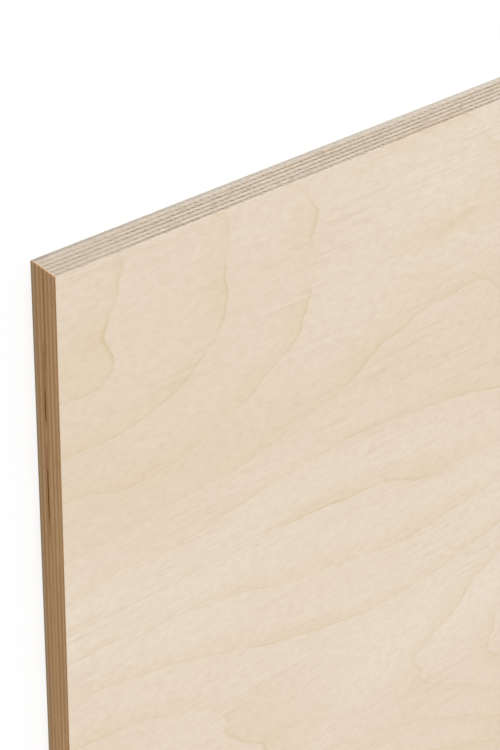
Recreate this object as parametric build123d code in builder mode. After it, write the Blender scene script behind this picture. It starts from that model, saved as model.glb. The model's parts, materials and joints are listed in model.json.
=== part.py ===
"""Birch plywood sheet: thirteen rotary-cut veneers glued face to face.

The grain of each veneer lies square to the grain of its neighbours. The sheet lies flat with
its better face up. X runs along the face grain, Y across it and Z up, and the origin is the
centre of the back face. All sizes are in millimetres.
"""

import os

from build123d import *

# The trimmed sheet
LENGTH = 1525.0  # along the face grain
WIDTH = 1525.0  # across the face grain

# The lay-up, whose plies are numbered from the face down
CROSS_PLIES = 6  # veneers laid across the face grain
CORE_VENEER = 1.44  # each inner veneer, pressed
FACE_VENEER = 1.08  # the face and the back, sanded

# What the saw and the sander leave
CORNER_EASE = 0.5  # radius of the four upright corners
ARRIS = 0.25  # broken edge round the face and the back

# Core gaps: a joint between two strips of one cross ply, open where it meets the saw cut
NEAR_GAP_START = 62.0  # from the front edge
NEAR_GAP_LENGTH = 18.0  # along the end grain edge
NEAR_GAP_DEPTH = 1.2  # in from that edge, at the middle
FAR_GAP_START = 106.0  # from the front edge
FAR_GAP_LENGTH = 29.0  # along the end grain edge
FAR_GAP_DEPTH = 3.0  # in from that edge, at the middle

ply_count = 2 * CROSS_PLIES + 1
thickness = (ply_count - 2) * CORE_VENEER + 2 * FACE_VENEER
gap_ply = 2 * (CROSS_PLIES // 2 + 1)  # the cross ply just behind the middle of the lay-up


def ply_floor(number):
    """Height of the underside of one inner ply above the back of the sheet."""
    return FACE_VENEER + (ply_count - 1 - number) * CORE_VENEER


def ply_name(number):
    """An inner ply's name, from the way its grain runs and its place in the lay-up."""
    direction = "cross" if number % 2 == 0 else "long"
    return f"{direction}_ply_{number:02d}"


def gap_outline(start, length, depth):
    """Add one core gap to the sketch in hand: a shallow arc cut in from the end grain edge."""
    edge = LENGTH / 2
    near_end = (edge, start - WIDTH / 2)
    far_end = (edge, start + length - WIDTH / 2)
    deepest = (edge - depth, start + length / 2 - WIDTH / 2)
    with BuildLine() as outline:
        ThreePointArc(near_end, deepest, far_end)
        Line(far_end, near_end)
    make_face(outline.edges())


def keep(piece, name):
    """Label one finished veneer and write it to its own file."""
    piece.part.label = name
    export_step(piece.part, f"parts/{name}.step")


os.makedirs("parts", exist_ok=True)

# Face veneer: the sanded top, its upper arris broken all round
with BuildPart() as face_veneer:
    with BuildSketch(Plane.XY.offset(thickness - FACE_VENEER)):
        RectangleRounded(LENGTH, WIDTH, CORNER_EASE)
    extrude(amount=FACE_VENEER)
    chamfer(face_veneer.faces().sort_by(Axis.Z)[-1].edges(), ARRIS)
keep(face_veneer, "face_veneer")

# Inner plies: cross and long grain in turn, down to the back veneer
for number in range(2, ply_count):
    with BuildPart() as ply:
        with BuildSketch(Plane.XY.offset(ply_floor(number))):
            RectangleRounded(LENGTH, WIDTH, CORNER_EASE)
        extrude(amount=CORE_VENEER)
        if number == gap_ply:
            with BuildSketch(Plane.XY.offset(ply_floor(number))):
                gap_outline(NEAR_GAP_START, NEAR_GAP_LENGTH, NEAR_GAP_DEPTH)
                gap_outline(FAR_GAP_START, FAR_GAP_LENGTH, FAR_GAP_DEPTH)
            extrude(amount=CORE_VENEER, mode=Mode.SUBTRACT)
    keep(ply, ply_name(number))

# Back veneer: the sanded underside, its lower arris broken all round
with BuildPart() as back_veneer:
    with BuildSketch():
        RectangleRounded(LENGTH, WIDTH, CORNER_EASE)
    extrude(amount=FACE_VENEER)
    chamfer(back_veneer.faces().sort_by(Axis.Z)[0].edges(), ARRIS)
keep(back_veneer, "back_veneer")

print(f"{ply_count} plies, {thickness:.2f} mm thick, core gaps in ply {gap_ply}")
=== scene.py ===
"""Birch plywood sheet, lying flat on a pale studio floor.

Every veneer is a closed shell worked out with numpy from the frame's own sizes: a sawn wall that
follows the rim, with its wavy glue lines, its broken arrises and its core gaps, and two caps that halve
their points ring by ring. X runs along the grain of the face and Z up from the back face. Lengths are
in metres.
"""

import json
import logging
import math
from dataclasses import dataclass, field
from enum import Enum

import bpy
import numpy as np
import numpy.typing as npt
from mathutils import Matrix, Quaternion, Vector


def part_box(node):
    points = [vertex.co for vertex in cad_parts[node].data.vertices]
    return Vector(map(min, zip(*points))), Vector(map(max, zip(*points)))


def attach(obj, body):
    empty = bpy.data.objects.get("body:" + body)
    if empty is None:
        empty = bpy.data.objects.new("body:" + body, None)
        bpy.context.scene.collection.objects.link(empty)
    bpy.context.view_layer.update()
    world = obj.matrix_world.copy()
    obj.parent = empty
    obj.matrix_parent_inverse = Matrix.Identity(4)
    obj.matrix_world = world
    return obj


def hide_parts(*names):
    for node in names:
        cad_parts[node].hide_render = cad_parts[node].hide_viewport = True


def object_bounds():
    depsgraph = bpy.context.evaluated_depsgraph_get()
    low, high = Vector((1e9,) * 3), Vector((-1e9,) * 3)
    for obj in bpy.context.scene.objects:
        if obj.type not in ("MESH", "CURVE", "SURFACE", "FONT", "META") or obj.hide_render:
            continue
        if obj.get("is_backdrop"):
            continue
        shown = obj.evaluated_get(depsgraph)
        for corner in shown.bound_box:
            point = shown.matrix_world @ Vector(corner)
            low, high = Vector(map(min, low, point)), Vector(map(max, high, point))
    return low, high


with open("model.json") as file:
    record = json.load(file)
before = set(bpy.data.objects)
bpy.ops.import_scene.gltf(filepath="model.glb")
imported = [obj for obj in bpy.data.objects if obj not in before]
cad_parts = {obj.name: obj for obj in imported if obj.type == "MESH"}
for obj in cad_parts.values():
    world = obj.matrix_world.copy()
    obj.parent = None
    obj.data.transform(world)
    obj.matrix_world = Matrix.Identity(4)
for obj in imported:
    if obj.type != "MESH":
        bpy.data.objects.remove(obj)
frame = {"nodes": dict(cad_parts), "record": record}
cad_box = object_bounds()

log = logging.getLogger("plywood")

Floats = npt.NDArray[np.float64]
Ints = npt.NDArray[np.int64]
Source = float | bpy.types.Node | bpy.types.NodeSocket  # what may feed a node's socket

MM = 0.001
TAU = 2 * math.pi
GOLDEN_ANGLE = math.pi * (3 - math.sqrt(5))
BODY = "root"


class Side(Enum):
    """The four sawn edges, in the order in which the rim passes them."""

    FRONT = 0
    RIGHT = 1
    REAR = 2
    LEFT = 3


class Grain(Enum):
    """Which way the fibres of a veneer run."""

    LONG = "along X"
    CROSS = "along Y"

    def ends_on(self, side: Side) -> bool:
        """Tell whether the fibres are cut across on that edge."""
        return (self is Grain.LONG) == (side in (Side.RIGHT, Side.LEFT))


class Wear(Enum):
    """The place of each finish among a veneer's materials."""

    RIP = 0
    CROSSCUT = 1
    GLUED = 2
    OUTER = 3


class Cover(Enum):
    """Which cap of a veneer is an outer face of the sheet."""

    NONE = "both caps are glued"
    TOP = "the upper cap is the sanded face"
    BOTTOM = "the lower cap is the sanded back"


def linear(hex_colour: str) -> tuple[float, float, float, float]:
    """Turn an sRGB hex colour into the linear colour that a shader takes.

    Args:
        hex_colour: six hex digits after a hash sign.

    Returns:
        Linear red, green, blue and an alpha of one.
    """
    channels = np.array([int(hex_colour[i : i + 2], 16) for i in (1, 3, 5)]) / 255
    low, high = channels / 12.92, ((channels + 0.055) / 1.055) ** 2.4
    red, green, blue = np.where(channels <= 0.04045, low, high)
    return float(red), float(green), float(blue), 1.0


def add(
    tree: bpy.types.NodeTree,
    kind: str,
    inputs: dict[int | str, object] | None = None,
    **settings: object,
) -> bpy.types.Node:
    """Add one shader node, with its settings and its links.

    Args:
        tree: the material's or world's node tree.
        kind: the node's type, without the word ShaderNode.
        inputs: for each socket, by name or number, a plain value, a socket, or a node whose first
            output in use is meant.
        settings: the node's own properties.

    Returns:
        The new node.
    """
    node = tree.nodes.new(f"ShaderNode{kind}")
    for name, value in settings.items():
        setattr(node, name, value)
    for key, value in (inputs or {}).items():
        if isinstance(value, bpy.types.Node):
            value = next(output for output in value.outputs if output.enabled)
        if isinstance(value, bpy.types.NodeSocket):
            tree.links.new(value, node.inputs[key])
        else:
            node.inputs[key].default_value = value
    return node


def new_material(name: str) -> tuple[bpy.types.Material, bpy.types.NodeTree]:
    """Make an empty node material.

    Args:
        name: the finish it stands for.

    Returns:
        The material and its node tree.
    """
    material = bpy.data.materials.new(name)
    material.use_nodes = True
    material.node_tree.nodes.clear()
    return material, material.node_tree


@dataclass(frozen=True)
class GrainNoise:
    """One layer of noise, stretched along the fibres."""

    along: float  # size of its marks along the fibres
    across: float  # size of its marks across the fibres
    detail: float = 2.0
    roughness: float = 0.5

    def add_to(self, tree: bpy.types.NodeTree, place: Source, shift: float = 0.0) -> bpy.types.Node:
        """Add the noise to a material.

        Args:
            tree: the material's node tree.
            place: coordinates in metres, with the fibres along their X.
            shift: how far the pattern is moved along all axes, in sizes of its marks.

        Returns:
            The noise node, whose first output runs from 0 to 1.
        """
        scale = (1 / self.along, 1 / self.across, 1 / self.across)
        placed = add(tree, "Mapping", {0: place, 1: (shift, shift, shift), 3: scale})
        options = {"Vector": placed, "Scale": 1.0, "Detail": self.detail, "Roughness": self.roughness}
        return add(tree, "TexNoise", options)


@dataclass(frozen=True)
class Blend:
    """A noise, and two values of it between which something comes in evenly."""

    noise: GrainNoise
    start: float
    end: float

    def add_to(
        self,
        tree: bpy.types.NodeTree,
        place: Source,
        least: float = 0.0,
        most: float = 1.0,
        shift: float = 0.0,
    ) -> bpy.types.Node:
        """Add the noise to a material, turned into a strength.

        Args:
            tree: the material's node tree.
            place: coordinates in metres, with the fibres along their X.
            least: the strength where the noise is low.
            most: the strength where the noise is high.
            shift: how far the pattern is moved along all axes, in sizes of its marks.

        Returns:
            The node that holds the strength.
        """
        noise = self.noise.add_to(tree, place, shift)
        return add(tree, "MapRange", {0: noise, 1: self.start, 2: self.end, 3: least, 4: most})


@dataclass(frozen=True)
class Marks(Blend):
    """Small marks that show wherever their noise is high."""

    share: float  # how much of their own colour they have there

    def lay(
        self,
        tree: bpy.types.NodeTree,
        noise: bpy.types.Node,
        under: bpy.types.Node,
        colour: str,
        within: Source = 1.0,
    ) -> bpy.types.Node:
        """Lay the marks over a colour.

        Args:
            tree: the material's node tree.
            noise: the marks' own noise, already added to the material.
            under: the colour that they cover.
            colour: the marks' colour, in hex.
            within: how strongly they show, from 0 to 1, as a value or a node.

        Returns:
            The node that holds the new colour.
        """
        most = add(tree, "Math", {0: within, 1: self.share}, operation="MULTIPLY")
        shown = add(tree, "MapRange", {0: noise, 1: self.start, 2: self.end, 4: most})
        return add(tree, "Mix", {0: shown, 6: under, 7: linear(colour)}, data_type="RGBA")


@dataclass(frozen=True)
class Eye:
    """A small swelling of the log, or a hollow if its rings are negative.

    Where it passes a whole ring, the knife meets it as a closed loop.
    """

    inland: float  # its middle's distance from the right edge
    across: float  # its middle's distance from the front edge
    rings: float
    length: float  # its reach along the grain
    width: float  # its reach across the grain

    def add_to(self, tree: bpy.types.NodeTree, near: bpy.types.Node) -> bpy.types.Node:
        """Add the swelling, which is strongest in the middle and smooth to its rim.

        Args:
            tree: the material's node tree.
            near: distances from the right edge and from the front edge.

        Returns:
            The node that holds its height in rings.
        """
        scale = (1 / self.length, 1 / self.width, 0)
        middle = (-self.inland / self.length, -self.across / self.width, 0)
        placed = add(tree, "Mapping", {0: near, 1: middle, 3: scale})
        away = add(tree, "VectorMath", {0: placed}, operation="LENGTH")
        return add(tree, "MapRange", {0: away, 3: self.rings, 4: 0.0}, interpolation_type="SMOOTHSTEP")


@dataclass(frozen=True)
class Swell:
    """A sine along the grain, by which the log's throw swells and shrinks."""

    rings: float
    length: float
    start: float  # distance from the right edge at which it crosses zero and grows

    def add_to(
        self, tree: bpy.types.NodeTree, inland: bpy.types.NodeSocket, rings: Source
    ) -> bpy.types.Node:
        """Add the swell to a sum of rings.

        Args:
            tree: the material's node tree.
            inland: distance from the right edge.
            rings: the sum so far, as a value or a node.

        Returns:
            The node that holds the new sum.
        """
        pace = TAU / self.length
        wave = add(tree, "Math", {0: inland, 1: pace, 2: -self.start * pace}, operation="MULTIPLY_ADD")
        wave = add(tree, "Math", {0: wave}, operation="SINE")
        return add(tree, "Math", {0: wave, 1: self.rings, 2: rings}, operation="MULTIPLY_ADD")


@dataclass(frozen=True)
class RotaryFigure:
    """Growth rings as a peeling knife meets them: contour lines that wander along the sheet.

    The ring index at a point says how many rings in the knife was there. It is the throw of the log, a
    mean with swells along the grain, times minus the cosine of the log's turn, plus an oval term at
    twice that turn, plus the log's taper, plus uneven growth as noise. The log's bend leans the turn
    along the grain. A ring's boundary shows wherever the index passes a whole number.
    """

    crest: float  # distance from the front edge at which the log's crest was peeled
    swells: tuple[Swell, ...]
    throw: float  # mean throw, in rings
    taper: float  # in rings for each metre away from the right edge
    oval: float  # in rings
    offset: float  # in rings
    bend: float  # in radians
    shift: float  # where the noises start, in sizes of their marks
    eyes: tuple[Eye, ...] = ()
    girth: float = 640 * MM  # log's circumference, after which the figure comes again
    bending: GrainNoise = GrainNoise(620 * MM, 2600 * MM, 1.0)
    growth: tuple[tuple[GrainNoise, float], ...] = (
        (GrainNoise(420 * MM, 110 * MM, 1.0), 2.2),
        (GrainNoise(70 * MM, 26 * MM, 1.0), 0.35),
        (GrainNoise(9 * MM, 7 * MM, 2.0), 0.04),
    )

    def add_to(
        self, tree: bpy.types.NodeTree, place: bpy.types.NodeSocket, corner: Vector
    ) -> bpy.types.Node:
        """Add the ring index to a material.

        Args:
            tree: the material's node tree.
            place: object coordinates, with the fibres along X.
            corner: the sheet's front right corner.

        Returns:
            The node that holds the ring index.
        """
        inward = {0: place, 1: (-1, 1, 1), 2: (corner.x, -corner.y, 0)}
        near = add(tree, "VectorMath", inward, operation="MULTIPLY_ADD")
        inland, across, _ = add(tree, "SeparateXYZ", {0: near}).outputs
        pace = TAU / self.girth
        turn = {0: across, 1: pace, 2: math.pi - self.crest * pace - self.bend / 2}
        turn = add(tree, "Math", turn, operation="MULTIPLY_ADD")
        bent = self.bending.add_to(tree, place, self.shift)
        turn = add(tree, "Math", {0: bent, 1: self.bend, 2: turn}, operation="MULTIPLY_ADD")
        swing = add(tree, "Math", {0: turn}, operation="COSINE")
        throw = self.throw
        for swell in self.swells:
            throw = swell.add_to(tree, inland, throw)
        rings = add(tree, "Math", {0: inland, 1: self.taper, 2: self.offset}, operation="MULTIPLY_ADD")
        rings = add(tree, "Math", {0: swing, 1: throw, 2: rings}, operation="MULTIPLY_ADD")
        twice = add(tree, "Math", {0: turn, 1: 2.0}, operation="MULTIPLY")
        oval = add(tree, "Math", {0: twice}, operation="COSINE")
        rings = add(tree, "Math", {0: oval, 1: self.oval, 2: rings}, operation="MULTIPLY_ADD")
        for noise, amount in self.growth:
            uneven = noise.add_to(tree, place, self.shift)
            rings = add(tree, "Math", {0: uneven, 1: amount, 2: rings}, operation="MULTIPLY_ADD")
        for eye in self.eyes:
            rings = add(tree, "Math", {0: eye.add_to(tree, near), 1: rings}, operation="ADD")
        return rings


@dataclass(frozen=True)
class SandedBirch:
    """Rotary-cut birch veneer, sanded and bare.

    The knife that peeled it met each growth ring at a low angle, which gives faint tan contour lines,
    soft on one side and crisp on the other. The sander cut the fibres short: fine tan streaks in
    patches, and a dry surface that shines nowhere. The fibres are finer than the eye tells apart on a
    whole sheet, so they are drawn a few times as coarse as they are.
    """

    name: str
    figure: RotaryFigure
    corner: Vector  # the sheet's front right corner
    wood: str = "#E7D9C7"  # early wood
    warm: str = "#E2D0B9"  # clouds of warmer wood
    late: str = "#DBC59E"  # late wood, which darkens towards a ring's boundary
    line: str = "#C7B47B"  # the boundary itself
    streak: str = "#C9B192"
    faintest: float = 0.05  # share of the late wood's colour where a ring hardly shows
    plainest: float = 0.34  # and where it shows best
    fading_start: float = 264.8  # where the fading's noise starts, in sizes of its marks
    darkening: tuple[float, float] = (0.55, 1.0)  # shares of a ring in which its late wood comes in
    boundary: tuple[float, float] = (0.96, 0.99)  # and in which the line does
    ior: float = 1.5
    roughness: float = 0.62
    unevenness: float = 0.06  # by which the streaks make it rougher or smoother
    nap: float = 0.05 * MM  # height of the cut fibres
    nap_strength: float = 0.35
    clouds: Blend = Blend(GrainNoise(340 * MM, 120 * MM, 2.0), 0.35, 0.7)
    fading: Blend = Blend(GrainNoise(60 * MM, 30 * MM, 1.0), 0.3, 0.7)
    patches: Blend = Blend(GrainNoise(110 * MM, 45 * MM, 1.0), 0.42, 0.62)
    mottle: Marks = Marks(GrainNoise(6 * MM, 3.5 * MM, 2.0), 0.4, 0.7, 0.18)
    streaks: Marks = Marks(GrainNoise(45 * MM, 1.7 * MM, 1.0), 0.5, 0.66, 0.18)
    fibres: Marks = Marks(GrainNoise(4 * MM, 0.7 * MM, 2.0, 0.6), 0.45, 0.75, 0.22)

    def material(self) -> bpy.types.Material:
        """Build the finish.

        Returns:
            The material, patterned on object coordinates.
        """
        material, tree = new_material(self.name)
        place = add(tree, "TexCoord").outputs["Object"]
        warmth = self.clouds.add_to(tree, place)
        woods = {0: warmth, 6: linear(self.wood), 7: linear(self.warm)}
        colour = self.add_rings(tree, place, add(tree, "Mix", woods, data_type="RGBA"))
        mottle, streaks, fibres = (
            marks.noise.add_to(tree, place) for marks in (self.mottle, self.streaks, self.fibres)
        )
        colour = self.mottle.lay(tree, mottle, colour, self.streak)
        colour = self.streaks.lay(tree, streaks, colour, self.streak, self.patches.add_to(tree, place))
        colour = self.fibres.lay(tree, fibres, colour, self.streak)
        nap = {"Strength": self.nap_strength, "Distance": self.nap, "Height": fibres}
        smoothest, roughest = self.roughness - self.unevenness, self.roughness + self.unevenness
        surface = {
            "Base Color": colour,
            "IOR": self.ior,
            "Roughness": add(tree, "MapRange", {0: streaks, 3: smoothest, 4: roughest}),
            "Normal": add(tree, "Bump", nap),
        }
        add(tree, "OutputMaterial", {0: add(tree, "BsdfPrincipled", surface)})
        return material

    def add_rings(
        self, tree: bpy.types.NodeTree, place: bpy.types.NodeSocket, colour: bpy.types.Node
    ) -> bpy.types.Node:
        """Draw the rings: late wood darkens towards a boundary, which is a thin line.

        Args:
            tree: the material's node tree.
            place: object coordinates, with the fibres along X.
            colour: the wood between the rings.

        Returns:
            The node that holds the new colour.
        """
        index = self.figure.add_to(tree, place, self.corner)
        ring = add(tree, "Math", {0: index}, operation="FRACT")
        strength = self.fading.add_to(tree, place, self.faintest, self.plainest, self.fading_start)
        for (start, end), shade in ((self.darkening, self.late), (self.boundary, self.line)):
            share = {0: ring, 1: start, 2: end, 4: strength}
            share = add(tree, "MapRange", share, interpolation_type="SMOOTHSTEP")
            colour = add(tree, "Mix", {0: share, 6: colour, 7: linear(shade)}, data_type="RGBA")
        return colour


class Cut(Enum):
    """How the saw met the sheet."""

    RIP = "along the grain of the face"
    CROSSCUT = "across the grain of the face"


@dataclass(frozen=True)
class EdgeTones:
    """Colours of one veneer on a sawn edge."""

    pale: str
    deep: str
    blush: str  # redder wood
    mark: str  # fibres and pores
    border: str  # next to the glue
    glue: str
    stain: str  # where it is stained


@dataclass(frozen=True)
class SawnEdge:
    """Sawn edge of a birch veneer, bare.

    The saw that ran along the fibres left them whole: pale wood with fine lines. The saw that ran
    across them left their open ends, which look darker and show no lines, only pores and the peeling
    knife's checks. Resin squeezed out by the press shows brown where two veneers meet. Pores, checks
    and glue are finer than the eye tells apart on a whole sheet, so they are drawn about twice as
    coarse as they are.
    """

    name: str
    tones: EdgeTones
    end_grain: bool
    checks: float = 0.0  # how strongly the checks show
    depth: float = 0.0  # how much nearer to its deep colour this ply is than its neighbours
    worn: str = "#E2C5A4"  # painted warm highlight on a ripped edge next to an upright corner, where the eased arris catches the lamp
    crack: str = "#6A5440"  # shade inside a check
    soak: float = 0.76  # share of the stain's colour where it is stained most
    shift: float = 0.0  # where this ply's strip of the pattern starts
    half_ply: float = 0.72 * MM
    # Where the border and the glue come in, on the way from the ply's middle (0) to its edge (1), where
    # they show in full, and their share of the colour there.
    bordering: tuple[float, float, float] = (0.45, 0.95, 0.6)
    gluing: tuple[float, float, float] = (0.88, 1.0, 0.45)
    ior: float = 1.5
    roughness: float = 0.75
    nap: float = 0.08 * MM  # height of the torn fibres
    nap_strength: float = 0.5
    check_pitch: float = 2.8 * MM
    check_slant: float = 0.9  # how far a check leans along the edge for each unit of height
    check_reach: tuple[float, float] = (0.04, 0.24)  # in pitches: how far it is dark, and shaded
    tone: Blend = Blend(GrainNoise(120 * MM, 4 * MM, 2.0), 0.3, 0.7)
    flush: Blend = Blend(GrainNoise(70 * MM, 12 * MM, 1.0), 0.4, 0.65)
    lines: Marks = Marks(GrainNoise(4.5 * MM, 0.6 * MM, 2.0, 0.6), 0.45, 0.72, 0.75)
    pores: Marks = Marks(GrainNoise(1.1 * MM, 0.5 * MM, 2.0, 0.7), 0.45, 0.75, 0.45)
    patches: Blend = Blend(GrainNoise(5 * MM, 3 * MM, 2.0), 0.36, 0.56)

    def material(self) -> bpy.types.Material:
        """Build the finish.

        Returns:
            The material, patterned on the UV map: metres along the edge, and -1 to 1 across the ply.
        """
        material, tree = new_material(self.name)
        unrolled = add(tree, "UVMap", uv_map="edge")
        scale = (1, self.half_ply, 1)
        place = add(tree, "Mapping", {0: unrolled, 1: (self.shift, 0, self.shift), 3: scale})
        reach = add(tree, "SeparateXYZ", {0: unrolled}).outputs[1]
        reach = add(tree, "Math", {0: reach}, operation="ABSOLUTE")
        tones = self.tones
        tone = self.tone.add_to(tree, place, self.depth, 1 + self.depth)
        woods = {0: tone, 6: linear(tones.pale), 7: linear(tones.deep)}
        colour = add(tree, "Mix", woods, data_type="RGBA")
        blush = {0: self.flush.add_to(tree, place), 6: colour, 7: linear(tones.blush)}
        colour = add(tree, "Mix", blush, data_type="RGBA")
        texture = self.pores if self.end_grain else self.lines
        marks = texture.noise.add_to(tree, place)
        colour = texture.lay(tree, marks, colour, tones.mark)
        if self.checks:
            dark = {0: self.add_checks(tree, place), 1: self.checks}
            dark = add(tree, "Math", dark, operation="MULTIPLY")
            colour = add(tree, "Mix", {0: dark, 6: colour, 7: linear(self.crack)}, data_type="RGBA")
        for (start, end, most), shade in ((self.bordering, tones.border), (self.gluing, tones.glue)):
            share = add(tree, "MapRange", {0: reach, 1: start, 2: end, 4: most})
            colour = add(tree, "Mix", {0: share, 6: colour, 7: linear(shade)}, data_type="RGBA")
        stain = add(tree, "Attribute", attribute_name="stain").outputs["Fac"]
        stain = add(tree, "MapRange", {0: stain, 4: self.soak}, interpolation_type="SMOOTHSTEP")
        # Painted warm highlight on a ripped edge next to an eased upright corner.
        worn = add(tree, "Attribute", attribute_name="worn").outputs["Fac"]
        for share, shade in ((stain, tones.stain), (worn, self.worn)):
            colour = add(tree, "Mix", {0: share, 6: colour, 7: linear(shade)}, data_type="RGBA")
        nap = {"Strength": self.nap_strength, "Distance": self.nap, "Height": marks}
        surface = {
            "Base Color": colour,
            "IOR": self.ior,
            "Roughness": self.roughness,
            "Normal": add(tree, "Bump", nap),
        }
        add(tree, "OutputMaterial", {0: add(tree, "BsdfPrincipled", surface)})
        return material

    def add_checks(self, tree: bpy.types.NodeTree, place: bpy.types.Node) -> bpy.types.Node:
        """Add the knife's checks: leaning cracks, unevenly spaced, that come and go.

        Args:
            tree: the material's node tree.
            place: metres along the edge and across the ply.

        Returns:
            The node that is 1 in a crack and 0 beside it.
        """
        axes = add(tree, "SeparateXYZ", {0: place})
        slant = {0: axes.outputs[1], 1: self.check_slant, 2: axes.outputs[0]}
        lean = add(tree, "Math", slant, operation="MULTIPLY_ADD")
        cells = {"W": lean, "Scale": 1 / self.check_pitch}
        cracks = add(tree, "TexVoronoi", cells, voronoi_dimensions="1D", feature="DISTANCE_TO_EDGE")
        dark, gone = self.check_reach
        cracked = add(tree, "MapRange", {0: cracks, 1: dark, 2: gone, 3: 1.0, 4: 0.0})
        torn = self.patches.add_to(tree, place)
        return add(tree, "Math", {0: cracked, 1: torn}, operation="MULTIPLY")


# By cut, and by whether the fibres end there. The crosscut edges are drawn warmer and darker
# than the ripped ones, which is painted warm shade, and are stained with resin where those are
# with grime.
TONES = {
    (Cut.RIP, False): EdgeTones(
        "#E5DBCE", "#DDD2C2", "#E0D1BC", "#A08D76", "#D6C9B9", "#6B5743", "#CBBDAC"
    ),
    (Cut.RIP, True): EdgeTones(
        "#D2C4B3", "#B3A28F", "#C0AA8D", "#947F69", "#CFC1AF", "#5A4735", "#CBBDAC"
    ),
    (Cut.CROSSCUT, False): EdgeTones(
        "#DCB88A", "#C49C6B", "#D0A57A", "#B88A58", "#CBA06F", "#6A4A2A", "#9A6A2E"
    ),
    (Cut.CROSSCUT, True): EdgeTones(
        "#CDA06A", "#AD8050", "#B98B60", "#9A7043", "#BF9460", "#6A4A2A", "#9A6A2E"
    ),
}
# The two plies next to the back have greyed with dust and handling.
SOILED_TONES = {
    (Cut.RIP, False): EdgeTones(
        "#D8CFC2", "#CDC3B4", "#D2C8B8", "#AF9F8C", "#CFC4B5", "#3A2C20", "#8C8070"
    ),
    (Cut.RIP, True): EdgeTones(
        "#E5DDD3", "#D5CCC0", "#D9CEC0", "#B5A999", "#DED5CA", "#3A2C20", "#8C8070"
    ),
    # The crosscut tones hold the same painted warm shade as the other plies'.
    (Cut.CROSSCUT, False): EdgeTones(
        "#C9AD88", "#BCA07B", "#C3A580", "#A88A64", "#B99C76", "#6A4A2A", "#9A6A2E"
    ),
    (Cut.CROSSCUT, True): EdgeTones(
        "#BC9C6E", "#AD8A5D", "#B69468", "#8E7049", "#B6976D", "#6A4A2A", "#9A6A2E"
    ),
}
# The checks opened where the saw ran along the face grain and stayed shut where it ran across.
CHECKS = {Cut.RIP: 0.85, Cut.CROSSCUT: 0.15}


@dataclass(frozen=True)
class GluedVeneer:
    """Peeled veneer under cured resin, brown and patchy.

    The press spread the resin unevenly and cured it hard. It is seen only down a core gap.
    """

    name: str = "resin stained birch veneer"
    wood: str = "#B08040"
    resin: str = "#66400F"
    ior: float = 1.5
    roughness: float = 0.7
    patches: GrainNoise = GrainNoise(12 * MM, 3 * MM, 2.0)

    def material(self) -> bpy.types.Material:
        """Build the finish.

        Returns:
            The material, patterned on object coordinates.
        """
        material, tree = new_material(self.name)
        patches = self.patches.add_to(tree, add(tree, "TexCoord").outputs["Object"])
        colour = {0: patches, 6: linear(self.wood), 7: linear(self.resin)}
        colour = add(tree, "Mix", colour, data_type="RGBA")
        surface = {"Base Color": colour, "IOR": self.ior, "Roughness": self.roughness}
        add(tree, "OutputMaterial", {0: add(tree, "BsdfPrincipled", surface)})
        return material


@dataclass(frozen=True)
class Outline:
    """The sheet's outline from above, sampled most closely at its corners."""

    half_length: float
    half_width: float
    corner: float = 0.5 * MM  # radius of the upright corners
    per_side: int = 768  # samples, which the caps halve ring by ring
    crowding: float = 0.9  # 0 spaces them evenly

    def shares(self, step: int = 1) -> Floats:
        """Place the samples along one side.

        A share is u less crowding / tau times the sine of tau u, for even steps of u from 0 to 1.

        Args:
            step: how many samples each place stands for.

        Returns:
            Shares of the side's length, without its far corner.
        """
        even = np.arange(0, self.per_side, step) / self.per_side
        return even - self.crowding / TAU * np.sin(TAU * even)

    def loop(self, inset: float = 0.0, step: int = 1) -> Floats:
        """Go round the outline, moved in by an inset, from the front left corner to the right.

        Args:
            inset: distance in from the outline.
            step: how many samples each point stands for.

        Returns:
            Points in the plane, one row each.
        """
        reach = np.array([self.half_length, self.half_width]) - inset
        corners = reach * np.array([[-1, -1], [1, -1], [1, 1], [-1, 1]])
        share = self.shares(step)[:, None]
        following = np.roll(corners, -1, axis=0)
        return np.concatenate([a + share * (b - a) for a, b in zip(corners, following)])

    def rim(self) -> tuple[Floats, Floats]:
        """Find the rim with its eased corners.

        Each sample is drawn to the corner radius about the nearest point of the rectangle inside by
        that radius.

        Returns:
            Points of the rim, and the outward direction at each.
        """
        loop = self.loop()
        inner = np.array([self.half_length, self.half_width]) - self.corner
        pivot = np.clip(loop, -inner, inner)
        outward = loop - pivot
        outward /= np.linalg.norm(outward, axis=1, keepdims=True)
        return pivot + self.corner * outward, outward

    def run(self) -> Floats:
        """Measure how far round the outline the samples stand.

        Returns:
            The distance at each sample, and once more at the end.
        """
        loop = self.loop()
        steps = np.linalg.norm(np.roll(loop, -1, axis=0) - loop, axis=1)
        return np.concatenate([[0.0], np.cumsum(steps)])

    def sides(self) -> Ints:
        """Number of the side that each sample starts."""
        return np.repeat([side.value for side in Side], self.per_side)

    def crosscut(self) -> npt.NDArray[np.bool_]:
        """Tell which samples lie on the left and right sides."""
        return np.isin(self.sides(), (Side.RIGHT.value, Side.LEFT.value))

    def from_corner(self) -> Floats:
        """Distance of each sample from the nearer end of its side."""
        return np.sum(np.array([self.half_length, self.half_width]) - np.abs(self.loop()), axis=1)


@dataclass(frozen=True)
class GlueLine:
    """The line in which two veneers meet on the sawn edges.

    Its height is its level plus three sine waves round the rim, whose phases turn by the golden angle
    from one line to the next, so that no two lines sway alike.
    """

    level: float
    number: int
    sway: float = 0.05 * MM  # of the longest wave
    waves: tuple[int, ...] = (41, 97, 211)  # whole waves round the rim

    def heights(self, run: Floats) -> Floats:
        """Height of the line at each sample of the rim.

        Args:
            run: distance round the outline at each sample, and at the end.

        Returns:
            Heights above the floor.
        """
        turn = TAU * run[:-1] / run[-1]
        swaying = np.zeros_like(turn)
        for order, waves in enumerate(self.waves, 1):
            swaying += np.sin(waves * turn + order * self.number * GOLDEN_ANGLE) / order
        return self.level + self.sway * swaying


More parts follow.
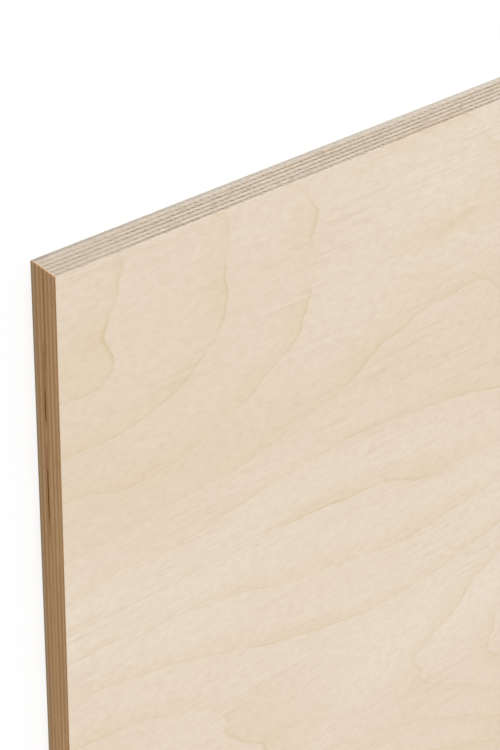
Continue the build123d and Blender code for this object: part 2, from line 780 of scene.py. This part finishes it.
@dataclass(frozen=True)
class CoreGap:
    """A place on the right edge where one cross veneer stops short of the saw cut."""

    start: float  # from the front edge
    length: float
    depth: float
    ragged: float = 0.12  # share of the depth that comes and goes
    bites: int = 5

    def depths(self, place: Floats) -> Floats:
        """Depth of the gap at each distance from the front edge.

        With t running from -1 to 1 along the gap, it is the depth times 1 less t squared, and a small
        sine on it.

        Args:
            place: distances from the front edge.

        Returns:
            Depths in from the edge, zero past the gap's ends.
        """
        t = 2 * (place - self.start) / self.length - 1
        bowed = np.clip(1 - t**2, 0, None)
        return self.depth * bowed * (1 + self.ragged * np.sin(self.bites * math.pi * t))


@dataclass(frozen=True)
class Stain:
    """A stretch of one ply's sawn edge that is stained."""

    side: Side
    start: float  # from the front right corner
    length: float
    fade: float  # how far it runs out past either end
    strength: float = 1.0

    def strengths(self, place: Floats) -> Floats:
        """Strength of the stain, full along its length and falling evenly to 0 past its ends.

        Args:
            place: distances from the front right corner, along the stained side.

        Returns:
            Strengths from 0 to 1.
        """
        away = np.abs(place - self.start - self.length / 2) - self.length / 2
        return self.strength * np.clip(1 - away / self.fade, 0, 1)


@dataclass(frozen=True)
class Cap:
    """One flat face of a veneer: rings that halve their points, then a grid of the same samples."""

    outline: Outline
    halvings: int = 5
    first_inset: float = 1.5 * MM

    def build(self, rim: Ints, first: int, height: float) -> tuple[Floats, Ints, Ints]:
        """Fill the outline in, facing up.

        Ring k stands (2 to the k, less 1) times the first inset from the rim, and three triangles join
        each two steps of a ring to one step of the next.

        Args:
            rim: vertex numbers of the rim that the cap closes.
            first: number of the cap's first new vertex.
            height: height of the cap.

        Returns:
            The new points, the triangles and the quads.
        """
        flat, triangles, outer = [], [], rim
        for k in range(1, self.halvings + 1):
            ring = self.outline.loop(self.first_inset * (2**k - 1), 2**k)
            inner = first + np.arange(len(ring))
            first += len(ring)
            flat.append(ring)
            a0, a1, a2 = outer[0::2], outer[1::2], np.roll(outer, -2)[0::2]
            b0, b1 = inner, np.roll(inner, -1)
            triangles += [np.stack(t, 1) for t in ((a0, a1, b0), (a1, b1, b0), (a1, a2, b1))]
            outer = inner
        cells = self.outline.per_side >> self.halvings
        grid = np.empty((cells + 1, cells + 1), int)
        grid[:-1, 0], grid[-1, :-1] = outer[:cells], outer[cells : 2 * cells]
        grid[1:, -1], grid[0, 1:] = outer[2 * cells : 3 * cells][::-1], outer[3 * cells :][::-1]
        grid[1:-1, 1:-1] = first + np.arange((cells - 1) ** 2).reshape(cells - 1, cells - 1)
        share = self.outline.shares(2**self.halvings)[1:]
        reach = flat[-1].max(axis=0)
        across = np.meshgrid(*(side * (2 * share - 1) for side in reach), indexing="ij")
        flat.append(np.stack(across, -1).reshape(-1, 2))
        quads = np.stack((grid[:-1, :-1], grid[1:, :-1], grid[1:, 1:], grid[:-1, 1:]), -1)
        plane = np.concatenate(flat)
        points = np.column_stack((plane, np.full(len(plane), height)))
        return points, np.concatenate(triangles), quads.reshape(-1, 4)


@dataclass
class Veneer:
    """One veneer as a closed shell between two glue lines."""

    name: str
    slot: str
    outline: Outline
    bottom: GlueLine
    top: GlueLine
    cover: Cover = Cover.NONE
    gaps: tuple[CoreGap, ...] = ()
    stains: tuple[Stain, ...] = ()
    stained: tuple[float, float] = (1.0, 1.0)  # share of the stains at the wall's bottom and top
    arris: float = 0.25 * MM  # radius of the sanded arris
    arris_rows: int = 4
    groove: float = 0.05 * MM  # depth to which the glue line lies back
    shoulder: float = 0.1  # share of the thickness in which the groove runs out
    belly: float = 0.02 * MM  # depth to which the middle of the ply lies back
    highlight_offset: float = 0.65 * MM  # how far from an upright corner the painted highlight on a ripped edge is strongest
    wear: float = 0.8  # strength of the painted highlight there
    lip: tuple[float, float] = (0.27, 0.35)  # shares between which a torn lip bends into a gap
    gaping: float = 0.1 * MM  # depth past which a gap shows glued wood
    pattern_end: float = 0.7  # place in the edge pattern that a sanded veneer ends at

    def profile(self) -> tuple[Floats, Floats, Floats, Floats]:
        """Lay out the wall from bottom to top.

        A glued side starts in its groove. A sanded side ends in a quarter circle of the arris radius:
        at angle a it lies the radius times 1 less the cosine in, and the radius times 1 less the sine
        short of the face. A gap leaves a lip of torn veneer above and below its mouth.

        Returns:
            For each row its share of the thickness, its inset, its place from -1 to 1 in the edge
            pattern, and the share of a gap's depth that it takes.
        """
        if self.cover is Cover.NONE:
            lips = [*self.lip, 1 - self.lip[1], 1 - self.lip[0]] if self.gaps else [0.5]
            share = np.array([0, self.shoulder, *lips, 1 - self.shoulder, 1])
            away = np.abs(2 * share - 1)
            inset = np.interp(away, [0, 1 - 2 * self.shoulder, 1], [self.belly, 0, self.groove])
            open_to = away < 1 - sum(self.lip)
            return share, inset, 2 * share - 1, open_to.astype(float)
        angle = np.linspace(0, math.pi / 2, self.arris_rows)
        short = self.arris * (1 - np.sin(angle)) / (self.top.level - self.bottom.level)
        share = np.concatenate([[0, self.shoulder], 1 - short])
        inset = np.concatenate([[self.groove, 0], self.arris * (1 - np.cos(angle))])
        pattern = (1 + self.pattern_end) * share - 1
        if self.cover is Cover.BOTTOM:
            share, inset, pattern = 1 - share[::-1], inset[::-1], -pattern[::-1]
        return share, inset, pattern, np.zeros_like(share)

    def wall(self) -> tuple[Floats, Floats, Floats]:
        """Work out the sawn wall.

        A point stands at the rim less the row's inset and any gap, along the outward direction, and at
        the row's share of the height between the two glue lines.

        Returns:
            Points by row and sample, and at each sample how deep a gap cuts in and how far the wood is
            stained.
        """
        rim, outward = self.outline.rim()
        run = self.outline.run()
        share, inset, _, open_to = self.profile()
        floor = self.bottom.heights(run) if self.cover is not Cover.BOTTOM else self.bottom.level
        roof = self.top.heights(run) if self.cover is not Cover.TOP else self.top.level
        height = floor + share[:, None] * (roof - floor) * np.ones(len(rim))
        sides = self.outline.sides()
        reach = {
            Side.FRONT: self.outline.half_length - rim[:, 0],
            Side.RIGHT: self.outline.half_width + rim[:, 1],
        }
        cut, stain = np.zeros(len(rim)), np.zeros(len(rim))
        for gap in self.gaps:
            cut += np.where(sides == Side.RIGHT.value, gap.depths(reach[Side.RIGHT]), 0.0)
        for mark in self.stains:
            strengths = mark.strengths(reach[mark.side])
            stain = np.maximum(stain, np.where(sides == mark.side.value, strengths, 0.0))
        flat = rim - (inset[:, None] + open_to[:, None] * cut)[..., None] * outward
        return np.concatenate([flat, height[..., None]], -1), cut, stain

    def build(self, finishes: dict[Wear, bpy.types.Material]) -> bpy.types.Object:
        """Build the shell and dress it.

        Args:
            finishes: the materials it wears, in the order of their places.

        Returns:
            The finished piece, riding on the sheet's body in its node's place.
        """
        wall, cut, stain = self.wall()
        points, walls, caps = self.shell(wall)
        mesh = bpy.data.meshes.new(self.name)
        mesh.from_pydata(points, [], sum((part.tolist() for part in (walls, *caps)), []))
        for wear in Wear:
            mesh.materials.append(finishes[wear])
        mesh.polygons.foreach_set("material_index", self.wears(cut, caps))
        mesh.uv_layers.new(name="edge").data.foreach_set("uv", self.unroll(points, caps).ravel())
        by_row = np.interp(self.profile()[0], [0, 1], self.stained)
        self.mark(mesh, "stain", np.outer(by_row, stain))
        # Painted highlight on the ripped edges next to the upright corners.
        self.mark(mesh, "worn", np.tile(self.worn(), len(wall)))
        mesh.update()

        piece = bpy.data.objects.new(f"{self.name}_shell", mesh)
        bpy.context.scene.collection.objects.link(piece)
        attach(piece, BODY)
        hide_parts(self.name)
        return piece

    def shell(self, wall: Floats) -> tuple[Floats, Ints, list[Ints]]:
        """Close the wall with its two caps.

        Args:
            wall: its points, by row and sample.

        Returns:
            All points, the quads of the wall, and the triangles and the quads of the upper cap and then
            of the lower one.
        """
        rows, samples = wall.shape[:2]
        ring = np.arange(samples)
        row_start = np.arange(rows - 1)[:, None] * samples
        here, there = row_start + ring, row_start + np.roll(ring, -1)
        walls = np.stack((here, there, there + samples, here + samples), -1).reshape(-1, 4)
        cap = Cap(self.outline)
        first = rows * samples
        top = cap.build((rows - 1) * samples + ring, first, self.top.level)
        bottom = cap.build(ring, first + len(top[0]), self.bottom.level)
        points = np.concatenate([wall.reshape(-1, 3), top[0], bottom[0]])
        return points, walls, [top[1], top[2], bottom[1][:, ::-1], bottom[2][:, ::-1]]

    def wears(self, cut: Floats, caps: list[Ints]) -> npt.NDArray[np.int32]:
        """Choose the finish of each face.

        On the wall, the crosscut edges' finish, with its painted warm shade, reaches round the upright
        corners as far as they are eased, which paints the shade that falls on the rounding, and a
        sanded face's reaches onto the first row of its arris. An open gap shows the glued one.

        Args:
            cut: how deep a gap cuts in at each sample.
            caps: the faces of the caps, in the mesh's order.

        Returns:
            Places among the materials, in the mesh's order.
        """
        # The eased corners take the crosscut finish as painted shade on their rounding.
        crosscut = self.outline.crosscut() | (self.outline.from_corner() < self.outline.corner)
        sawn = np.where(crosscut, Wear.CROSSCUT.value, Wear.RIP.value)
        open_to = self.profile()[3]
        gaping = np.outer(np.maximum(open_to[:-1], open_to[1:]), cut) > self.gaping
        wall = np.where(gaping, Wear.GLUED.value, sawn)
        if self.cover is not Cover.NONE:
            wall[-1 if self.cover is Cover.TOP else 0] = Wear.OUTER.value
        wears = [wall.ravel()]
        for part, side in zip(caps, (Cover.TOP, Cover.TOP, Cover.BOTTOM, Cover.BOTTOM)):
            wear = Wear.OUTER if self.cover is side else Wear.GLUED
            wears.append(np.full(len(part), wear.value))
        return np.concatenate(wears).astype(np.int32)

    def worn(self) -> Floats:
        """Work out the painted highlight on the ripped edges at each sample of the rim.

        It is strongest a little way from an upright corner, where the eased arris catches the lamp, and
        falls evenly to 0 both ways.

        Returns:
            Strengths from 0 to 1.
        """
        away = np.abs(self.outline.from_corner() - self.highlight_offset)
        strength = 1 - away / (self.highlight_offset - self.outline.corner / 2)
        return np.where(self.outline.crosscut(), 0.0, np.clip(strength, 0, self.wear))

    def mark(self, mesh: bpy.types.Mesh, name: str, strengths: Floats) -> None:
        """Store how strongly the wall is marked.

        Args:
            mesh: the shell's mesh, whose first vertices are the wall's.
            name: name of the attribute that a finish reads.
            strengths: a strength from 0 to 1 for each vertex of the wall.
        """
        values = np.zeros(len(mesh.vertices), np.float32)
        values[: strengths.size] = strengths.ravel()
        mesh.attributes.new(name, "FLOAT", "POINT").data.foreach_set("value", values)

    def unroll(self, points: Floats, caps: list[Ints]) -> Floats:
        """Lay the edge pattern on the shell.

        On the wall, U is the distance round the outline and V the place across the ply. On the caps, U
        and V are X and Y.

        Args:
            points: the shell's vertices.
            caps: the faces of the caps, in the mesh's order.

        Returns:
            U and V for each face corner.
        """
        run = self.outline.run()
        pattern = self.profile()[2]
        cells = (run[:-1], run[1:], pattern[:-1, None], pattern[1:, None])
        start, end, low, high = np.broadcast_arrays(*cells)
        along = np.stack((start, end, end, start), -1)
        across = np.stack((low, low, high, high), -1)
        unrolled = [np.stack((along, across), -1).reshape(-1, 2)]
        unrolled += [points[part.ravel(), :2] for part in caps]
        return np.concatenate(unrolled).astype(np.float32)


@dataclass
class PlywoodSheet:
    """The whole sheet: thirteen veneers from the back up."""

    face_figure: RotaryFigure = RotaryFigure(
        crest=20 * MM,
        swells=(Swell(1.5, 520 * MM, 366 * MM), Swell(0.84, 1700 * MM, 71 * MM)),
        throw=3.4,
        taper=1 / (240 * MM),
        oval=0.84,
        offset=0.33,
        bend=2.6,
        shift=277.28,
        eyes=(
            Eye(0 * MM, 3 * MM, -1.25, 18 * MM, 24 * MM),  # the ring at the corner
            Eye(33 * MM, 12 * MM, 0.065, 30 * MM, 15 * MM),  # three that straighten the next line
            Eye(28 * MM, 30 * MM, 0.05, 30 * MM, 13 * MM),
            Eye(22 * MM, 62 * MM, -0.14, 24 * MM, 24 * MM),
            Eye(108 * MM, 2 * MM, -0.05, 26 * MM, 12 * MM),  # two beside the line after it
            Eye(103 * MM, 16 * MM, 0.06, 26 * MM, 14 * MM),
            Eye(190 * MM, 12 * MM, 0.76, 42 * MM, 11 * MM),  # the long ring near the front edge
            Eye(226 * MM, 11 * MM, -0.33, 42 * MM, 60 * MM),  # a hollow past it, and a broad swelling
            Eye(300 * MM, 5 * MM, 0.75, 58 * MM, 50 * MM),
            Eye(4 * MM, 98 * MM, 0.12, 34 * MM, 22 * MM),  # four where lines meet the right edge
            Eye(4 * MM, 122 * MM, 0.29, 34 * MM, 26 * MM),
            Eye(2 * MM, 184 * MM, -0.15, 30 * MM, 26 * MM),
            Eye(38 * MM, 176 * MM, 0.15, 30 * MM, 26 * MM),
            Eye(235 * MM, 1255 * MM, -0.2, 110 * MM, 130 * MM),  # a plain stretch towards the rear
        ),
    )
    back_figure: RotaryFigure = RotaryFigure(
        crest=410 * MM,
        swells=(Swell(0.9, 610 * MM, 300 * MM), Swell(1.4, 1550 * MM, 900 * MM)),
        throw=4.2,
        taper=-1 / (160 * MM),
        oval=0.7,
        offset=0.0,
        bend=2.2,
        shift=96.4,
    )
    gaps: tuple[CoreGap, ...] = (
        CoreGap(62 * MM, 18 * MM, 1.2 * MM),
        CoreGap(106 * MM, 29 * MM, 3.0 * MM),
    )
    gap_ply: str = "cross_ply_08"
    # Resin stains round the core gaps; where they run out past a gap's ends they are painted shade for
    # the gap's thin dark tail.
    gap_stains_and_shade: tuple[Stain, ...] = (
        Stain(Side.RIGHT, 48 * MM, 26 * MM, 18 * MM),
        Stain(Side.RIGHT, 101 * MM, 35 * MM, 20 * MM),
    )
    corner_ply: str = "long_ply_07"
    corner_stain: Stain = Stain(Side.RIGHT, 0.0, 42 * MM, 16 * MM, 0.75)
    grime: Stain = Stain(Side.FRONT, 0.0, 35 * MM, 30 * MM, 0.5)
    soiled_plies: int = 2  # next to the back
    soil: tuple[Stain, ...] = (  # on those plies
        Stain(Side.FRONT, 0.0, 5 * MM, 230 * MM, 0.75),
        Stain(Side.FRONT, 0.0, 7 * MM, 12 * MM),
    )
    soil_shares: tuple[tuple[float, float], ...] = ((0.2, 0.8), (1.0, 0.3))  # at bottom and top
    # How deep each ply's tone is on the ripped and on the crosscut edges, from the back up.
    front_depths: tuple[float, ...] = (0, 0, 0.1, -0.35, 0.9, 0.1, 0, 0.05, 0, -0.15, -0.3, 0.1, 0.3)
    right_depths: tuple[float, ...] = (0, 0, 0.3, 0, 0.1, 0.1, -0.6, 0.12, -0.1, -0.4, -0.35, 0, -0.3)
    pieces: list[bpy.types.Object] = field(default_factory=list)

    def sawn_finishes(self, grain: Grain, number: int) -> list[bpy.types.Material]:
        """Make the finishes of one veneer's sawn edges.

        Args:
            grain: which way its fibres run.
            number: its place from the back up, which shifts its patterns.

        Returns:
            The materials of the ripped and of the crosscut edges.
        """
        made = []
        table = SOILED_TONES if number < self.soiled_plies else TONES
        for cut, side in ((Cut.RIP, Side.FRONT), (Cut.CROSSCUT, Side.RIGHT)):
            ends = grain.ends_on(side)
            name = f"{cut.name.lower()} sawn birch {'end' if ends else 'side'} grain {number:02d}"
            checks = CHECKS[cut] if ends else 0.0
            if number < self.soiled_plies:
                checks /= 2  # dust has filled them
            depths = self.front_depths if cut is Cut.RIP else self.right_depths
            shift = number * GOLDEN_ANGLE
            edge = SawnEdge(name, table[cut, ends], ends, checks, depths[number], shift=shift)
            made.append(edge.material())
        return made

    def marks(self, name: str, number: int) -> tuple[tuple[Stain, ...], tuple[float, float]]:
        """Gather the stains of one veneer.

        Args:
            name: its node's name.
            number: its place from the back up.

        Returns:
            The stains, and the share of them at the bottom and the top of its wall.
        """
        resin = {self.gap_ply: self.gap_stains_and_shade, self.corner_ply: (self.corner_stain,)}
        stains = (self.grime, *resin.get(name, ()))
        if number < self.soiled_plies:
            return (*stains, *self.soil), self.soil_shares[number]
        return stains, (1.0, 1.0)

    def build(self) -> None:
        """Build every veneer where the frame has it."""
        low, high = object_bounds()
        outline = Outline((high.x - low.x) / 2, (high.y - low.y) / 2)
        corner = Vector((high.x, low.y, 0))
        glued = GluedVeneer().material()
        face = SandedBirch("sanded rotary cut birch face", self.face_figure, corner).material()
        back = SandedBirch("sanded rotary cut birch back", self.back_figure, corner).material()
        outer = {Cover.TOP: face, Cover.BOTTOM: back, Cover.NONE: glued}
        names = sorted(frame["nodes"], key=lambda name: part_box(name)[0].z)
        levels = [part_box(name)[0].z for name in names] + [high.z]
        slots = {entry["node"]: entry["material_slot"] for entry in frame["record"]["subparts"]}
        lines = [GlueLine(level, number) for number, level in enumerate(levels)]
        covers = {0: Cover.BOTTOM, len(names) - 1: Cover.TOP}
        for number, name in enumerate(names):
            grain = Grain.CROSS if name.startswith("cross") else Grain.LONG
            cover = covers.get(number, Cover.NONE)
            stains, stained = self.marks(name, number)
            veneer = Veneer(
                name=name,
                slot=slots[name],
                outline=outline,
                bottom=lines[number],
                top=lines[number + 1],
                cover=cover,
                gaps=self.gaps if name == self.gap_ply else (),
                stains=stains,
                stained=stained,
            )
            finishes = (*self.sawn_finishes(grain, number), glued, outer[cover])
            piece = veneer.build(dict(zip(Wear, finishes)))
            self.pieces.append(piece)
            log.info("%s: %s fibres, %d faces", piece.name, grain.value, len(piece.data.polygons))


@dataclass
class Studio:
    """A pale floor under an even sky and one broad lamp."""

    floor_reach: float = 40.0
    floor_glow: float = 0.78  # share of its white that the floor gives off, where it is seen directly
    sky: float = 0.53  # strength
    lamp: float = 2.15  # watts for each square metre
    lamp_from: Vector = Vector((0.0, -0.7, 0.72))
    lamp_spread: float = math.radians(25)

    def build(self) -> None:
        """Build the floor, the sky and the lamp."""
        self.build_floor()
        self.build_sky()
        lamp = bpy.data.lights.new("key lamp", "SUN")
        lamp.energy, lamp.angle = self.lamp, self.lamp_spread
        holder = bpy.data.objects.new("key lamp", lamp)
        holder.rotation_mode = "QUATERNION"
        holder.rotation_quaternion = self.lamp_from.to_track_quat("Z", "Y")
        bpy.context.scene.collection.objects.link(holder)

    def seen_directly(self, tree: bpy.types.NodeTree) -> bpy.types.Node:
        """Tell the rays that see the backdrop from those that it lights.

        Args:
            tree: the node tree of the floor or the sky.

        Returns:
            A node that is 1 for camera, glossy and transmission rays.
        """
        path = add(tree, "LightPath").outputs
        either = {0: path["Is Camera Ray"], 1: path["Is Glossy Ray"]}
        either = add(tree, "Math", either, operation="MAXIMUM")
        return add(tree, "Math", {0: either, 1: path["Is Transmission Ray"]}, operation="MAXIMUM")

    def build_floor(self) -> None:
        """Lay the floor at the sheet's underside."""
        reach = self.floor_reach
        mesh = bpy.data.meshes.new("studio_floor")
        corners = [(-reach, -reach, 0), (reach, -reach, 0), (reach, reach, 0), (-reach, reach, 0)]
        mesh.from_pydata(corners, [], [(0, 1, 2, 3)])
        material, tree = new_material("white studio floor")
        bounce = add(tree, "BsdfDiffuse", {"Color": linear("#C4C2BF")})
        lit = add(tree, "BsdfDiffuse", {"Color": linear("#FFFFFF")})
        glow = add(tree, "Emission", {"Color": linear("#FFFFFF"), "Strength": 1.0})
        white = add(tree, "MixShader", {0: self.floor_glow, 1: lit, 2: glow})
        mixed = add(tree, "MixShader", {0: self.seen_directly(tree), 1: bounce, 2: white})
        add(tree, "OutputMaterial", {0: mixed})
        mesh.materials.append(material)
        floor = bpy.data.objects.new("studio_floor", mesh)
        bpy.context.scene.collection.objects.link(floor)
        floor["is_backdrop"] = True

    def build_sky(self) -> None:
        """Surround the sheet with an even sky, white where it is seen."""
        world = bpy.data.worlds.new("studio sky")
        world.use_nodes = True
        tree = world.node_tree
        tree.nodes.clear()
        light = add(tree, "Background", {"Color": linear("#FFFFFF"), "Strength": self.sky})
        white = add(tree, "Background", {"Color": linear("#FFFFFF"), "Strength": 1.0})
        mixed = add(tree, "MixShader", {0: self.seen_directly(tree), 1: light, 2: white})
        add(tree, "OutputWorld", {0: mixed})
        bpy.context.scene.world = world


@dataclass
class PhotoCamera:
    """The photograph's viewpoint on the sheet's front right corner.

    The photograph shows the sheet on edge, so the camera that looks down on it here is rolled by as
    much.
    """

    right: float = 435.8 * MM  # out from the right edge
    ahead: float = 468.7 * MM  # out from the front edge
    above: float = 619.9 * MM  # above the face
    aim_along: float = 110.21 * MM  # from the right edge to the point aimed at
    aim_across: float = 95.83 * MM  # from the front edge to the point aimed at
    roll: float = math.radians(124.455)
    focal_pixels: float = 2119.65
    frame_height: int = 750  # pixels along the sensor
    sensor: float = 36.0  # millimetres
    nearest: float = 0.05  # that it sees
    farthest: float = 200.0

    def build(self, corner: Vector) -> None:
        """Set the camera up.

        Args:
            corner: the face's front right corner.
        """
        data = bpy.data.cameras.new("photo camera")
        data.sensor_width = self.sensor
        data.lens = self.focal_pixels * self.sensor / self.frame_height
        data.clip_start, data.clip_end = self.nearest, self.farthest
        camera = bpy.data.objects.new("photo camera", data)
        camera.location = corner + Vector((self.right, -self.ahead, self.above))
        aim = corner + Vector((-self.aim_along, self.aim_across, 0))
        level = (aim - camera.location).to_track_quat("-Z", "Y")
        camera.rotation_mode = "QUATERNION"
        camera.rotation_quaternion = level @ Quaternion((0, 0, 1), self.roll)
        bpy.context.scene.collection.objects.link(camera)
        bpy.context.scene.camera = camera


def main() -> None:
    """Build the sheet, the studio and the camera."""
    logging.basicConfig(level=logging.INFO, format="%(name)s: %(message)s")
    bpy.context.scene.view_settings.view_transform = "Standard"
    sheet = PlywoodSheet()
    sheet.build()
    low, high = cad_box
    Studio().build()
    PhotoCamera().build(Vector((high.x, low.y, high.z)))
    log.info("%d veneers dressed", len(sheet.pieces))


if __name__ == "__main__":
    main()
